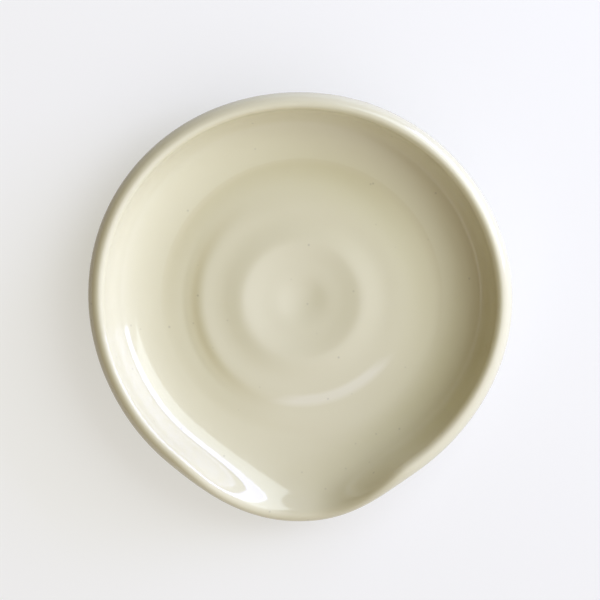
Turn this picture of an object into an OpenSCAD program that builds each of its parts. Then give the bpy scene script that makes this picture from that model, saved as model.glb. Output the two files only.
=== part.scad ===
// Wheel-thrown stoneware spoon rest: a shallow round dish whose wall is pulled out and down
// at one side into a low lip, where the spoon's handle lies.
// It rests on its foot ring at z = 0, with the wheel's axis on Z and the lip towards -Y.

/* [Dish] */
// Radius of the round part of the rim, over the glaze
rim_r = 65; // [58:0.5:80]
// Height of the rim above the table, over the glaze
rim_h = 23; // [19:0.5:34]
// Thickness of the clay at the rim
rim_t = 4.7; // [2.4:0.1:5.4]
// How far the rim's inner edge is drawn up the wall, and its outer edge down
rim_lean = 1; // [0:0.1:2]
// Slope of the wall where it meets the rim, in degrees from level
wall_slope = 80; // [60:1:86]
// Radius of the level floor inside
floor_r = 43.5; // [34:0.5:47]
// Thickness of the clay under the floor
floor_t = 3.8; // [3:0.1:6]
// Fullness of the curve where the wall leaves the floor
low_fullness = 0.74; // [0.4:0.02:0.8]
// Fullness of the curve below the rim
high_fullness = 0.66; // [0.3:0.02:0.7]
// How far the rim bulges out of round at the back
bulge = 1.7; // [0:0.1:3]
// Angle from the lip's middle to the middle of the bulge
bulge_at = -121; // [-140:1:140]
// Half the angle that the bulge spans
bulge_half = 65; // [30:1:70]

/* [Throwing rings] */
// Radius of the raised ring that the potter's fingers left round the middle of the floor
ring_first = 18.5; // [14:0.5:24]
// Distance from one step of the floor to the next, out from the ring
ring_pitch = 10.5; // [8:0.5:14]
// Height of a step
ring_step = 1.3; // [0.1:0.05:1.5]
// Depth of the hollow inside the ring
hollow_d = 1.5; // [0:0.1:2.4]

/* [Lip] */
// How far the lip stands out past the round of the rim
lip_out = 5.1; // [0:0.1:10]
// Height of the lip's edge above the table, over the glaze
lip_h = 12; // [9:0.5:16]
// Slope of the lip at its edge, in degrees from level
lip_slope = 17; // [5:1:30]
// Half the angle that the level mouth of the lip spans
mouth_half = 3; // [1:0.5:10]
// Angle over which the wall climbs from the mouth to its full height, left of the lip
climb_left = 37; // [20:1:44]
// The same right of the lip, where it was pulled up more sharply
climb_right = 30; // [20:1:44]
// How far the flank left of the lip is drawn in
flank_left = 0.2; // [0:0.1:4]
// How far the flank right of the lip is drawn in
flank_right = 1.6; // [0:0.1:4]
// Angle from the lip's middle to the middle of each flank
flank_at = 44; // [38:1:60]
// Half the angle that a drawn-in flank spans
flank_half = 52; // [25:1:60]

/* [Foot] */
// How far the foot ring's outside sits in from the floor's edge
foot_inset = 1; // [0:0.1:4]
// Width of the foot ring
foot_w = 6; // [4:0.5:12]
// Depth of the turned recess inside the foot ring
recess_d = 2.2; // [1.2:0.1:4]
// Slope of the recess wall, in degrees from level
recess_slope = 55; // [40:1:80]
// Bevel on the foot ring's outer edge
foot_bevel = 0.7; // [0.2:0.1:1]

/* [Glaze] */
// Thickness of the glaze
glaze_t = 0.5; // [0.3:0.05:0.8]
// Width of the band wiped bare round the foot, out from the floor's edge
bare_band = 2.5; // [1:0.1:6]

/* [Smoothness] */
// Steps round the lip and its flanks
lip_steps = 20; // [12:2:24]
// Steps round the rest of the dish
round_steps = 46; // [30:2:50]
// Steps up the wall
wall_steps = 8; // [6:1:8]
// Steps round the rim
rim_steps = 7; // [4:1:8]

/* [Hidden] */

// Sizes of the bare clay under the glaze
clay_r = rim_r - glaze_t;
clay_h = rim_h - glaze_t;
clay_lip_h = lip_h - glaze_t;
floor_z = recess_d + floor_t;
foot_r = floor_r - foot_inset;
recess_r = foot_r - foot_w;
// As many steps as the floor has room for, the crest of the ring above them and the hollow inside it
ring_count = floor((floor_r - ring_first) / ring_pitch);
crest_z = floor_z + ring_step * ring_count;
middle_z = crest_z - hollow_d;
// The close steps run a little past the end of the longer climb, on to the full wall
shoulder = 7;
lip_half = mouth_half + max(climb_left, climb_right) + shoulder;
round_half = 180 - lip_half;

// Turns round the axis, from -180 to 180 with the lip's middle at 0, closer together round the lip
turns = concat(
    [for (i = [0 : round_steps / 2 - 1]) round_half * (2 * i / round_steps) - 180],
    [for (i = [0 : lip_steps - 1]) lip_half * (2 * i / lip_steps - 1)],
    [for (i = [0 : round_steps / 2 - 1]) round_half * (2 * i / round_steps) + lip_half]
);

function mix(a, b, share) = a + (b - a) * share;
function ease(x) = let (c = min(max(x, 0), 1)) c * c * (3 - 2 * c);

// How far the wall has been pulled down at a turn: 1 across the mouth, 0 where it stands full
function pulled(turn) = 1 - ease((abs(turn) - mouth_half) / (turn < 0 ? climb_left : climb_right));

// A soft swell over a stretch of turns: 1 at its middle and 0 past its ends
function swell(turn, middle, half) =
    let (x = ((turn - middle + 540) % 360 - 180) / half)
    abs(x) < 1 ? pow(cos(90 * x), 2) : 0;

// Outer radius and height of the clay edge, and the wall's slope there, at a turn
function edge_r(turn) =
    clay_r + lip_out * pulled(turn) + bulge * swell(turn, bulge_at, bulge_half)
    - flank_left * swell(-turn, flank_at, flank_half)
    - flank_right * swell(turn, flank_at, flank_half);
function edge_h(turn) = mix(clay_h, clay_lip_h, pulled(turn));
function edge_slope(turn) = mix(wall_slope, lip_slope, pulled(turn));
// The rim leans where the wall stands full, and not at the lip
function edge_lean(turn) = rim_lean * (1 - pulled(turn));

// How far the rim reaches out and up from the end of the wall's middle
function rim_reach(slope, lean) =
    let (half = rim_t / 2)
    [
        norm([half * sin(slope) - lean * cos(slope), half * cos(slope)]),
        norm([half * cos(slope) + lean * sin(slope), half * sin(slope)])
    ];

// Middle of the wall's thickness at a turn, a Bezier curve from the floor's edge to the rim
function wall_curve(turn) =
    let (
        slope = edge_slope(turn),
        start = [floor_r, floor_z - floor_t / 2],
        end = [edge_r(turn), edge_h(turn)] - rim_reach(slope, edge_lean(turn)),
        run = end[0] - start[0],
        rise = end[1] - start[1]
    )
    [
        start,
        start + [run * low_fullness, 0],
        end - [cos(slope), sin(slope)] * rise * high_fullness,
        end
    ];

function along(c, s) =
    pow(1 - s, 3) * c[0] + 3 * s * pow(1 - s, 2) * c[1] + 3 * s * s * (1 - s) * c[2] + pow(s, 3) * c[3];
function heading(c, s) =
    let (d = pow(1 - s, 2) * (c[1] - c[0]) + 2 * s * (1 - s) * (c[2] - c[1]) + s * s * (c[3] - c[2]))
    d / norm(d);

// A place on a section: its point and the way out of the clay there, as [radius, height] pairs.
// The side is 1 on the inside of the wall and -1 on the outside.
function wall_place(c, lean, s, side) =
    let (d = heading(c, s), inward = [-d[1], d[0]])
    [along(c, s) + side * (inward * mix(floor_t, rim_t, s) / 2 + d * lean * pow(s, 3)), side * inward];

// A place on the rim, from 0 degrees at its inner edge to 180 at its outer one
function rim_place(c, lean, a) =
    let (
        half = rim_t / 2,
        d = heading(c, 1),
        inward = [-d[1], d[0]],
        out = inward * (half * cos(a) - lean * sin(a)) + d * half * sin(a)
    )
    [c[3] + inward * half * cos(a) + d * (half * sin(a) + lean * cos(a)), out / norm(out)];

// Share of the way up the wall where its outside reaches a radius, found by halving
function share_at(c, lean, r, low = 0, high = 1, halvings = 16) =
    let (half = (low + high) / 2)
    halvings == 0 ? half
    : wall_place(c, lean, half, -1)[0][0] < r ? share_at(c, lean, r, half, high, halvings - 1)
    : share_at(c, lean, r, low, half, halvings - 1);

// The floor out from its middle: up out of the hollow, then down a step at a time from the ring
floor_places = concat(
    [for (i = [1 : 2]) [[ring_first * i / 3, crest_z - hollow_d * (1 - ease(i / 3))], [0, 1]]],
    [
        for (k = [0 : 1 : ring_count - 1], i = [0 : 2])
            [[ring_first + ring_pitch * (k + i / 3), crest_z - ring_step * (k + i / 2)], [0, 1]]
    ]
);

// The glazed places of the section at a turn, from the floor over the rim to the glaze line
function glazed_places(turn) =
    let (
        c = wall_curve(turn),
        lean = edge_lean(turn),
        glaze_line = share_at(c, lean, floor_r + bare_band)
    )
    concat(
        floor_places,
        [for (i = [0 : wall_steps]) wall_place(c, lean, i / wall_steps, 1)],
        [for (i = [1 : rim_steps - 1]) rim_place(c, lean, 180 * i / rim_steps)],
        [for (i = [0 : wall_steps]) wall_place(c, lean, mix(1, glaze_line, i / wall_steps), -1)]
    );

// The bare clay below the glaze line, down to the foot's bearing face
bare_places = [
    [[floor_r, recess_d], [0, -1]],
    [[foot_r, recess_d], [0, -1]],
    [[foot_r, foot_bevel], [1, 0]],
    [[foot_r - foot_bevel, 0], [0, -1]]
];

function at_turn(p, turn) = [p[0] * sin(turn), -p[0] * cos(turn), p[1]];

// One closed line of points round the axis for each place of a section, raised off the clay
function rings(sections, lift) = [
    for (j = [0 : len(sections[0]) - 1])
        [for (i = [0 : len(turns) - 1])
            let (place = sections[i][j])
            at_turn(place[0] + place[1] * lift, turns[i])]
];

glazed = [for (turn = turns) glazed_places(turn)];
bare = [for (turn = turns) bare_places];
clay_rings = rings(glazed, 0);

// Skins a stack of rings and closes it at a point above and a point below. Where the stack folds
// back over itself, past its first fold rings, the faces are split along their other diagonal,
// so that a coat's inside has the same faces as the clay that it covers.
module loft(stack, top, bottom, fold = undef) {
    n = len(stack[0]);
    last = len(stack) - 1;
    turned = is_undef(fold) ? last : fold;
    points = concat([top], [for (ring = stack) each ring], [bottom]);
    end = len(points) - 1;
    faces = concat(
        [for (i = [0 : n - 1]) [0, 1 + (i + 1) % n, 1 + i]],
        [
            for (j = [0 : last - 1], i = [0 : n - 1])
                let (
                    a = 1 + j * n + i,
                    b = 1 + j * n + (i + 1) % n,
                    c = b + n,
                    d = a + n
                )
                each j < turned ? [[a, b, c], [a, c, d]] : [[a, b, d], [b, c, d]]
        ],
        [for (i = [0 : n - 1]) [1 + last * n + i, 1 + last * n + (i + 1) % n, end]]
    );
    polyhedron(points, faces, convexity = 6);
}

// The recess that is turned out inside the foot ring
module recess_profile(from_z) {
    reach = recess_d / tan(recess_slope);
    polygon([
        [0, from_z],
        [recess_r - reach * from_z / recess_d, from_z],
        [recess_r - reach, recess_d],
        [0, recess_d]
    ]);
}

// Thrown and turned clay: floor, wall, rim and pulled lip, on a turned foot ring
module stoneware_body() {
    color("#c9b594")
        difference() {
            loft(concat(clay_rings, rings(bare, 0)), [0, 0, middle_z], [0, 0, 0]);
            rotate_extrude($fn = len(turns)) recess_profile(0);
        }
}

// Fused glaze over the inside, the rim, the lip and the outside, down to the glaze line
module glaze_coat() {
    outside = rings(glazed, glaze_t);
    inside = [for (j = [len(clay_rings) - 1 : -1 : 0]) clay_rings[j]];
    color("#e6e1cb")
        loft(concat(outside, inside), [0, 0, middle_z + glaze_t], [0, 0, middle_z], len(outside));
}

// Fused glaze on the roof of the recess, inside the bare foot ring
module base_glaze() {
    color("#ded8bf")
        rotate_extrude($fn = len(turns)) recess_profile(recess_d - glaze_t);
}

stoneware_body();
glaze_coat();
base_glaze();
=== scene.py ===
from functools import lru_cache
from math import atan2, cos, degrees, hypot, pi, radians, sin

import bmesh
import bpy
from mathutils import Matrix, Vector


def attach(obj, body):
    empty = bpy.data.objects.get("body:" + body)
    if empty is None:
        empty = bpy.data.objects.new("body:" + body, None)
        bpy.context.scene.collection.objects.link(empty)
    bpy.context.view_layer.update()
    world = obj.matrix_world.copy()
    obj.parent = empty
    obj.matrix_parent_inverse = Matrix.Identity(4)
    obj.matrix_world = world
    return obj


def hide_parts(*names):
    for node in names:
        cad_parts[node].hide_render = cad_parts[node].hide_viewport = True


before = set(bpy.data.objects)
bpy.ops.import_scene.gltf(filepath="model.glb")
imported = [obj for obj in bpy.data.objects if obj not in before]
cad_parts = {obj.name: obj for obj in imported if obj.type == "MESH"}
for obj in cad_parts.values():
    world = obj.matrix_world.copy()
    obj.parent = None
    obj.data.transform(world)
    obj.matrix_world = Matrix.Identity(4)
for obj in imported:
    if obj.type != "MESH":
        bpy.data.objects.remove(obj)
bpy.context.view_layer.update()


# Stoneware body: a shallow dish of buff clay, thrown on the wheel, with its wall pulled out and
# down at one side into a lip for the spoon's handle. The foot ring under it is turned, and stays
# bare.

mm = 0.001

# Sizes of the clay under the glaze. A turn is an angle round the axis from the lip's middle.
rim_r = 64.5 * mm
rim_h = 22.5 * mm
rim_t = 4.7 * mm
rim_lean = 1 * mm
wall_slope = 80
floor_r = 43.5 * mm
floor_t = 3.8 * mm
low_fullness = 0.74
high_fullness = 0.66
bulge = 1.7 * mm
bulge_at, bulge_half = -121, 65

lip_out = 5.1 * mm
lip_h = 11.5 * mm
lip_slope = 17
mouth_half = 3
climb_left, climb_right = 37, 30
flank_left = 0.2 * mm
flank_right = 1.6 * mm
flank_at, flank_half = 44, 52

foot_r = 42.5 * mm
foot_w = 6 * mm
recess_d = 2.2 * mm
recess_reach = 1.54 * mm
floor_z = recess_d + floor_t

turn_steps = 144
floor_steps = 64


def mix(a, b, share):
    return a + (b - a) * share


def steps(start, end, count):
    return [mix(start, end, i / count) for i in range(count + 1)]


def ease(x):
    x = min(max(x, 0), 1)
    return x * x * (3 - 2 * x)


def swell(turn, middle, half):
    """1 at the middle of a stretch of turns, falling to 0 at its ends."""
    away = abs((turn - middle + 180) % 360 - 180)
    return cos(pi / 2 * min(away / half, 1)) ** 2


def pulled(turn):
    """How far the wall is pulled down into the lip: 1 across the mouth, 0 where it stands full."""
    climb = climb_left if turn < 0 else climb_right
    return 1 - ease((abs(turn) - mouth_half) / climb)


@lru_cache(None)
def wall_curve(turn):
    """The middle of the wall's thickness at a turn: four points of a curve from floor to rim."""
    pull = pulled(turn)
    edge_r = rim_r + lip_out * pull + bulge * swell(turn, bulge_at, bulge_half)
    edge_r -= flank_left * swell(-turn, flank_at, flank_half)
    edge_r -= flank_right * swell(turn, flank_at, flank_half)
    edge_h = mix(rim_h, lip_h, pull)
    slope = radians(mix(wall_slope, lip_slope, pull))
    half, lean = rim_t / 2, rim_lean * (1 - pull)
    reach_out = hypot(half * sin(slope) - lean * cos(slope), half * cos(slope))
    reach_up = hypot(half * cos(slope) + lean * sin(slope), half * sin(slope))
    start = Vector((floor_r, floor_z - floor_t / 2))
    end = Vector((edge_r - reach_out, edge_h - reach_up))
    run, rise = end - start
    low = start + Vector((run * low_fullness, 0))
    high = end - Vector((cos(slope), sin(slope))) * rise * high_fullness
    return start, low, high, end


def wall_place(turn, s, lift=0):
    """A point of the clay's skin, or lifted off it. Its place s runs from 0 to 1 up the inside of
    the wall, to 2 over the rim and to 3 down the outside."""
    a, b, c, d = wall_curve(turn)
    up = min(s, 1, 3 - s)
    down = 1 - up
    middle = down**3 * a + 3 * up * down**2 * b + 3 * up**2 * down * c + up**3 * d
    heading = down**2 * (b - a) + 2 * up * down * (c - b) + up**2 * (d - c)
    heading.normalize()
    inward = Vector((-heading.y, heading.x))
    over = pi * min(max(s - 1, 0), 1)
    half = mix(floor_t, rim_t, up) / 2
    lean = rim_lean * (1 - pulled(turn)) * up**3
    skin = inward * half * cos(over) + heading * (half * sin(over) + lean * cos(over))
    way_out = inward * (half * cos(over) - lean * sin(over)) + heading * half * sin(over)
    return middle + skin + way_out.normalized() * lift


# The floor as the potter's fingers left it, as slopes at distances in mm from the middle: up out
# of a hollow in two swells to a raised ring, and down from it in two steps
floor_slopes = [
    (0, 0),
    (2, 0.06),
    (4.5, 0.15),
    (6.2, 0.165),
    (8.6, 0.097),
    (11, 0.076),
    (13.5, 0.128),
    (16.2, 0.135),
    (17.6, 0.09),
    (19, -0.06),
    (20.8, -0.165),
    (23.3, -0.165),
    (25.7, -0.085),
    (28.2, -0.03),
    (30.2, -0.07),
    (33, -0.13),
    (35.6, -0.155),
    (41, -0.15),
    (43.5, 0),
]

# What the fingertips cut deeper into the outer step: a groove on the left and, a little further
# in, a shorter one near the lip
mark_slopes = [
    (28.2, 0),
    (30.2, 0.05),
    (31.6, -0.1),
    (33, -0.22),
    (34.4, -0.05),
    (35.6, 0.03),
    (36.6, -0.085),
    (37.6, 0.093),
    (41, 0.093),
    (43.5, 0),
]
left_mark_at, left_mark_half = -82, 80
front_mark_at, front_mark_half = 18, 42
front_mark_in = 1.5 * mm


def gained(slopes, r):
    """Height gained along a list of slopes at a distance from the middle."""
    rise = 0
    for (start, slope), (end, next_slope) in zip(slopes, slopes[1:]):
        run = min(max(r / mm - start, 0), end - start)
        rise += run * (slope + mix(slope, next_slope, run / (end - start))) / 2
    return rise * mm


def floor_places(turn, lift=0):
    """Points of the clay's floor at a turn, from the middle to its edge, or lifted off it."""
    left = swell(turn, left_mark_at, left_mark_half)
    front = swell(turn, front_mark_at, front_mark_half)
    places = []
    for r in steps(0, floor_r, floor_steps)[:-1]:
        z = floor_z + gained(floor_slopes, r) - gained(floor_slopes, floor_r) + lift
        z += gained(mark_slopes, r) * left + gained(mark_slopes, r + front_mark_in) * front
        places.append(Vector((r, z)))
    return places


# The turned foot from the outside in: a small cove under the wall, the bearing ring with soft
# edges, and the recess inside it
foot_turning = [
    (foot_r + 0.45 * mm, 2.05 * mm),
    (foot_r + 0.1 * mm, 1.7 * mm),
    (foot_r, 1.1 * mm),
    (foot_r - 0.1 * mm, 0.5 * mm),
    (foot_r - 0.4 * mm, 0.12 * mm),
    (foot_r - 0.9 * mm, 0),
    (foot_r - 1.6 * mm, 0),
    (foot_r - foot_w + 1.3 * mm, 0),
    (foot_r - foot_w + 0.6 * mm, 0),
    (foot_r - foot_w + 0.1 * mm, 0.1 * mm),
    (foot_r - foot_w - 0.3 * mm, 0.5 * mm),
    (foot_r - foot_w - 0.8 * recess_reach, 0.8 * recess_d),
    (foot_r - foot_w - recess_reach, recess_d - 0.08 * mm),
    (foot_r - foot_w - recess_reach - 0.6 * mm, recess_d),
    (foot_r / 2, recess_d),
    (0, recess_d),
]


@lru_cache(None)
def body_section(turn):
    """The clay from the middle of the floor over the rim to the middle of the recess. Under the
    glaze it needs only half the floor's points."""
    inside, over_rim, outside = steps(0, 1, 8), steps(1, 2, 6), steps(2, 3, 16)
    wall = [wall_place(turn, s) for s in inside + over_rim[1:] + outside[1:]]
    return floor_places(turn)[::2] + wall + [Vector(place) for place in foot_turning]


def spin_section(section):
    """Spins the section at the back of the dish round the axis, and sets each copy of it to the
    section at its own turn, which is where the lip is pulled out of the round."""
    bm = bmesh.new()
    place = bm.verts.layers.int.new("place")
    verts = [bm.verts.new((0, p.x, p.y)) for p in section(180)]
    for i, v in enumerate(verts):
        v[place] = i
    edges = [bm.edges.new(pair) for pair in zip(verts, verts[1:])]
    bmesh.ops.spin(
        bm,
        geom=verts + edges,
        cent=(0, 0, 0),
        axis=(0, 0, 1),
        angle=2 * pi,
        steps=turn_steps,
        use_merge=True,
    )
    for v in bm.verts:
        turn = atan2(v.co.x, -v.co.y)
        p = section(round(degrees(turn), 3))[v[place]]
        v.co = p.x * sin(turn), -p.x * cos(turn), p.y
    bmesh.ops.remove_doubles(bm, verts=bm.verts, dist=0.0001 * mm)
    bmesh.ops.recalc_face_normals(bm, faces=bm.faces)
    return bm


def piece(name, bm, material, node):
    """Makes the finished mesh a smooth piece that stands for a CAD node and stays with the dish."""
    mesh = bpy.data.meshes.new(name)
    bm.to_mesh(mesh)
    bm.free()
    mesh.shade_smooth()
    mesh.materials.append(material)
    made = bpy.data.objects.new(name, mesh)
    bpy.context.scene.collection.objects.link(made)
    smooth = made.modifiers.new("smooth", "SUBSURF")
    smooth.levels = smooth.render_levels = 1
    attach(made, "root")
    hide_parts(node)


def colour(code):
    """An sRGB hex colour as linear RGBA."""
    parts = [int(code[i : i + 2], 16) / 255 for i in (1, 3, 5)]
    return *[p / 12.92 if p <= 0.04045 else ((p + 0.055) / 1.055) ** 2.4 for p in parts], 1


def add(material, kind, inputs, **settings):
    """Adds a node with its settings, and sets or links its inputs by name or number."""
    tree = material.node_tree
    made = tree.nodes.new("ShaderNode" + kind)
    for name, value in settings.items():
        setattr(made, name, value)
    shown = [s for s in made.inputs if s.enabled]
    for key, value in inputs.items():
        socket = shown[key] if isinstance(key, int) else next(s for s in shown if s.name == key)
        if isinstance(value, bpy.types.NodeSocket):
            tree.links.new(value, socket)
        else:
            socket.default_value = value
    return next(s for s in made.outputs if s.enabled) if made.outputs else made


# Bare stoneware: fired buff clay, sponged and turned, dry to the eye, with fine dark grit, soft
# clouds of colour and the tool's close rings
bare_stoneware = bpy.data.materials.new("bare stoneware, turned and fired")
bare_stoneware.use_nodes = True
bare_stoneware.node_tree.nodes.clear()
grain = 0.45 * mm
cloud = 9 * mm
tool_pitch = 0.7 * mm
wave_pitch = 0.314  # between the rings of the wave node at a scale of 1
at = add(bare_stoneware, "TexCoord", {}).node.outputs["Object"]
clouds = add(bare_stoneware, "TexNoise", {"Vector": at, "Scale": 1 / cloud, "Detail": 3})
grit = add(bare_stoneware, "TexNoise", {"Vector": at, "Scale": 1 / grain, "Detail": 2})
buff = add(
    bare_stoneware,
    "Mix",
    {"Factor": clouds, "A": colour("#c9b08a"), "B": colour("#b99c74")},
    data_type="RGBA",
)
dark_grit = add(bare_stoneware, "MapRange", {0: grit, 1: 0.62, 2: 0.72, 3: 0, 4: 0.6})
speckled = add(
    bare_stoneware,
    "Mix",
    {"Factor": dark_grit, "A": buff, "B": colour("#7d6446")},
    data_type="RGBA",
)
tool_rings = add(
    bare_stoneware,
    "TexWave",
    {"Vector": at, "Scale": wave_pitch / tool_pitch, "Distortion": 1.2, "Detail": 2},
    wave_type="RINGS",
    rings_direction="Z",
)
rough_clay = add(bare_stoneware, "Math", {0: tool_rings, 1: grit}, operation="ADD")
clay_bump = add(
    bare_stoneware, "Bump", {"Strength": 0.5, "Distance": 0.05 * mm, "Height": rough_clay}
)
clay_shader = add(
    bare_stoneware,
    "BsdfPrincipled",
    {"Base Color": speckled, "Roughness": 0.88, "IOR": 1.5, "Normal": clay_bump},
)
add(bare_stoneware, "OutputMaterial", {"Surface": clay_shader})

piece(
    "thrown_body",
    spin_section(body_section),
    bare_stoneware,
    "stoneware_body",
)


# Glaze coat: the dish is dipped in cream glaze, which fuses to a glassy skin about 0.4 mm thick.
# It runs over the inside, the rim, the lip and the outside, and is wiped back above the foot.

coat_t = 0.38 * mm
glaze_line_r = 46 * mm
long_wave = 0.2 * mm
short_wave = 0.12 * mm

# The bead at the coat's lower edge: how far back from it, and what share of the coat's thickness
bead_back = 0.04
bead_shape = ((0.022, 1.1), (0.008, 0.95), (0, 0.5), (0, 0))


@lru_cache(None)
def glaze_line(turn):
    """The place down the outside where the coat ends, found by halving."""
    line_r = glaze_line_r + long_wave * sin(radians(3 * turn + 40))
    line_r += short_wave * sin(radians(8 * turn))
    low, high = 2, 3
    for _ in range(14):
        half = (low + high) / 2
        low, high = (half, high) if wall_place(turn, half).x > line_r else (low, half)
    return low


@lru_cache(None)
def coat_section(turn):
    """The coat's outer face from the middle of the floor to the bead, and back along the clay."""
    line = glaze_line(turn)
    floor = floor_places(turn, coat_t)
    inside = [wall_place(turn, s, coat_t) for s in steps(0, 1, 18)]
    over_rim = [wall_place(turn, s, coat_t) for s in steps(1, 2, 12)[1:]]
    outside = [wall_place(turn, s, coat_t) for s in steps(2, line - bead_back, 14)[1:]]
    bead = [wall_place(turn, line - back, coat_t * share) for back, share in bead_shape]
    under = [wall_place(turn, s) for s in steps(line, 2, 8)[1:] + steps(2, 0, 16)[1:]]
    clay_floor = floor_places(turn)[::2]
    return floor + inside + over_rim + outside + bead + under + clay_floor[::-1]


# Cream stoneware glaze, glossy and a little uneven: it mottles softly, ripples slightly, gathers
# in the finger marks and carries faint iron specks. Painted shade darkens some of these marks, and
# a painted highlight lightens the one near the lip
cream_glaze = bpy.data.materials.new("cream glaze, glossy")
cream_glaze.use_nodes = True
cream_glaze.node_tree.nodes.clear()
mottle = 22 * mm
ripple = 7 * mm
speck_apart = 6.5 * mm
speck_r = 0.5 * mm

# Where the glaze gathers, and where shade and a highlight are painted into its colour: the
# distances in mm from the axis over which each mark comes in and then fades out, the way to that
# side of the dish, how far that way it starts and is full, and its strength and colour
glaze_marks_and_painted_light = (
    # Deeper in the groove on the left: glaze gathered there, darkened further with painted shade
    ((31.2, 33.4), (34, 37), (-1, -0.15, 0), (12, 32), 0.36, "#cabf92"),
    # Darker in the trough between floor and wall, towards the back: painted shade
    ((36, 42), (43.7, 44.3), (0, 1, 0), (-15, 25), 0.25, "#cabf92"),
    # Paler in the mark near the lip: a painted highlight
    ((29.4, 30.6), (32.4, 34.2), (0.36, -0.93, 0), (25.5, 29), 0.6, "#e9e5cf"),
)

at = add(cream_glaze, "TexCoord", {}).node.outputs["Object"]
mottling = add(cream_glaze, "TexNoise", {"Vector": at, "Scale": 1 / mottle, "Detail": 4})
glaze = add(
    cream_glaze,
    "Mix",
    {"Factor": mottling, "A": colour("#dcd7b6"), "B": colour("#d8d2b0")},
    data_type="RGBA",
)
level = add(cream_glaze, "VectorMath", {0: at, 1: (1, 1, 0)}, operation="MULTIPLY")
from_axis = add(cream_glaze, "VectorMath", {0: level}, operation="LENGTH").node.outputs["Value"]
# Each mark mixes its colour into the glaze: painted shade where it is darker, a painted highlight
# where it is paler
for (starts, full), (fade_from, ends), way, (enters, within), strength, code in glaze_marks_and_painted_light:
    comes_in = add(
        cream_glaze, "MapRange", {0: from_axis, 1: starts * mm, 2: full * mm, 3: 0, 4: 1}
    )
    fades_out = add(
        cream_glaze, "MapRange", {0: from_axis, 1: fade_from * mm, 2: ends * mm, 3: 1, 4: 0}
    )
    that_way = add(cream_glaze, "VectorMath", {0: at, 1: way}, operation="DOT_PRODUCT")
    that_way = that_way.node.outputs["Value"]
    that_side = add(
        cream_glaze, "MapRange", {0: that_way, 1: enters * mm, 2: within * mm, 3: 0, 4: strength}
    )
    pooled_and_painted = add(cream_glaze, "Math", {0: comes_in, 1: fades_out}, operation="MULTIPLY")
    pooled_and_painted = add(cream_glaze, "Math", {0: pooled_and_painted, 1: that_side}, operation="MULTIPLY")
    glaze = add(
        cream_glaze, "Mix", {"Factor": pooled_and_painted, "A": glaze, "B": colour(code)}, data_type="RGBA"
    )
from_speck = add(cream_glaze, "TexVoronoi", {"Vector": at, "Scale": 1 / speck_apart})
speck_edge = speck_r / speck_apart
speck = add(
    cream_glaze, "MapRange", {0: from_speck, 1: speck_edge * 0.2, 2: speck_edge, 3: 0.24, 4: 0}
)
specked = add(
    cream_glaze,
    "Mix",
    {"Factor": speck, "A": glaze, "B": colour("#4b3d28")},
    data_type="RGBA",
)
ripples = add(cream_glaze, "TexNoise", {"Vector": at, "Scale": 1 / ripple, "Detail": 1})
glaze_bump = add(
    cream_glaze, "Bump", {"Strength": 0.35, "Distance": 0.05 * mm, "Height": ripples}
)
glaze_shader = add(
    cream_glaze,
    "BsdfPrincipled",
    {"Base Color": specked, "Roughness": 0.09, "IOR": 1.56, "Normal": glaze_bump},
)
add(cream_glaze, "OutputMaterial", {"Surface": glaze_shader})

piece("fused_glaze", spin_section(coat_section), cream_glaze, "glaze_coat")


# Base glaze: the same glaze, brushed into the recess inside the foot ring before the firing. It
# lies as a thin disc on the roof of the recess and creeps a little down its wall.

roof_r = foot_r - foot_w - recess_reach
base_glaze_section = [
    Vector(place)
    for place in (
        (0, recess_d - 0.45 * mm),
        (roof_r / 2, recess_d - 0.45 * mm),
        (roof_r - 6.5 * mm, recess_d - 0.44 * mm),
        (roof_r - 2.5 * mm, recess_d - 0.46 * mm),
        (roof_r - 0.65 * mm, recess_d - 0.52 * mm),
        (roof_r + 0.25 * mm, recess_d - 0.66 * mm),
        (roof_r + 0.5 * mm, recess_d - 0.72 * mm),
        (roof_r + 0.45 * mm, recess_d - 0.55 * mm),
        (roof_r + 0.05 * mm, recess_d),
        (roof_r / 2, recess_d),
        (0, recess_d),
    )
]

piece(
    "recess_glaze",
    spin_section(lambda turn: base_glaze_section),
    cream_glaze,
    "base_glaze",
)


# Stage: a plain pale table under the dish, two soft windows on the right, a little behind, the
# lower one cooler, and a warm room round them that is bright on the near right and dark on the
# far left.

table_mesh = bpy.data.meshes.new("table")
bm = bmesh.new()
bmesh.ops.create_circle(bm, cap_ends=True, segments=96, radius=8)
bmesh.ops.translate(bm, verts=bm.verts, vec=(0, 0, -0.05 * mm))
bm.to_mesh(table_mesh)
bm.free()
table = bpy.data.objects.new("table", table_mesh)
bpy.context.scene.collection.objects.link(table)

# Pale matt table: a clean light ground that takes the dish's shadow and looks paler than it is
pale_table = bpy.data.materials.new("pale matt table")
pale_table.use_nodes = True
pale_table.node_tree.nodes.clear()
ray = add(pale_table, "LightPath", {}).node.outputs
seen = add(
    pale_table, "Math", {0: ray["Is Camera Ray"], 1: ray["Is Glossy Ray"]}, operation="MAXIMUM"
)
seen = add(pale_table, "Math", {0: seen, 1: ray["Is Transmission Ray"]}, operation="MAXIMUM")
paler = add(pale_table, "Math", {0: seen, 1: 0.52}, operation="MULTIPLY")
table_shader = add(
    pale_table,
    "BsdfPrincipled",
    {
        "Base Color": colour("#aaaaab"),
        "Roughness": 0.9,
        "Emission Color": colour("#fbfaf1"),
        "Emission Strength": paler,
    },
)
add(pale_table, "OutputMaterial", {"Surface": table_shader})
table_mesh.materials.append(pale_table)


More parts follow.
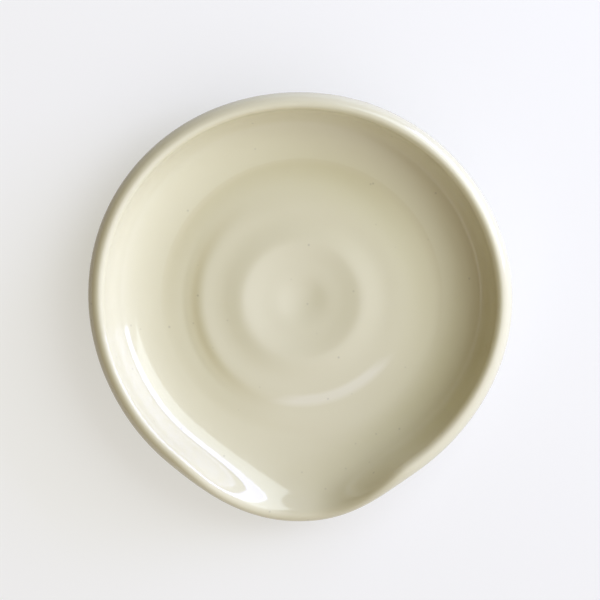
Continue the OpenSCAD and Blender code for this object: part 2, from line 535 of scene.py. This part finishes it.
def towards(azimuth, elevation):
    """The way to a light, at an angle from +X towards +Y and another up from level."""
    a, e = radians(azimuth), radians(elevation)
    return Vector((cos(e) * cos(a), cos(e) * sin(a), sin(e)))


def soft_lamp(name, way_to, width, height, watts, tint):
    """A large soft lamp a metre from the dish, turned to face it."""
    lamp = bpy.data.lights.new(name, "AREA")
    lamp.shape = "RECTANGLE"
    lamp.size, lamp.size_y = width, height
    lamp.energy = watts
    lamp.color = colour(tint)[:3]
    lamp_object = bpy.data.objects.new(name, lamp)
    bpy.context.scene.collection.objects.link(lamp_object)
    lamp_object.location = way_to
    lamp_object.rotation_euler = way_to.to_track_quat("Z", "Y").to_euler()
    lamp_object.visible_camera = False


soft_lamp("low_window", towards(30, 18), 0.9, 0.45, 10.9, "#bac2ff")
soft_lamp("high_window", towards(40, 46), 0.8, 0.7, 5.8, "#e8f4ff")

# The room's bright side, as angles from its middle where it starts and where it is full
glow_starts, glow_full = radians(72), radians(45)
room = bpy.data.worlds.new("warm room")
room.use_nodes = True
room.node_tree.nodes.clear()
bpy.context.scene.world = room
way = add(room, "TexCoord", {}).node.outputs["Generated"]
bright_side = add(room, "VectorMath", {0: way, 1: towards(-45, 28)}, operation="DOT_PRODUCT")
glow = add(
    room,
    "MapRange",
    {0: bright_side, 1: cos(glow_starts), 2: cos(glow_full), 3: 0, 4: 1.03},
    interpolation_type="SMOOTHSTEP",
)
pale_side = add(room, "Background", {"Color": colour("#edefff"), "Strength": glow})
warm_shade = add(room, "Background", {"Color": colour("#ffdb8c"), "Strength": 0.175})
room_shader = add(room, "AddShader", {0: pale_side, 1: warm_shade})
add(room, "OutputWorld", {"Surface": room_shader})

camera_distance = 0.8
camera_tilt = radians(6)
aim = Vector((-0.6, 1.5, 23)) * mm
camera = bpy.data.objects.new("camera", bpy.data.cameras.new("camera"))
bpy.context.scene.collection.objects.link(camera)
camera.data.lens = 156.8
camera.location = aim + Vector((0, sin(camera_tilt), cos(camera_tilt))) * camera_distance
camera.rotation_euler = (-camera_tilt, 0, 0)
bpy.context.scene.camera = camera
bpy.context.scene.view_settings.view_transform = "Standard"
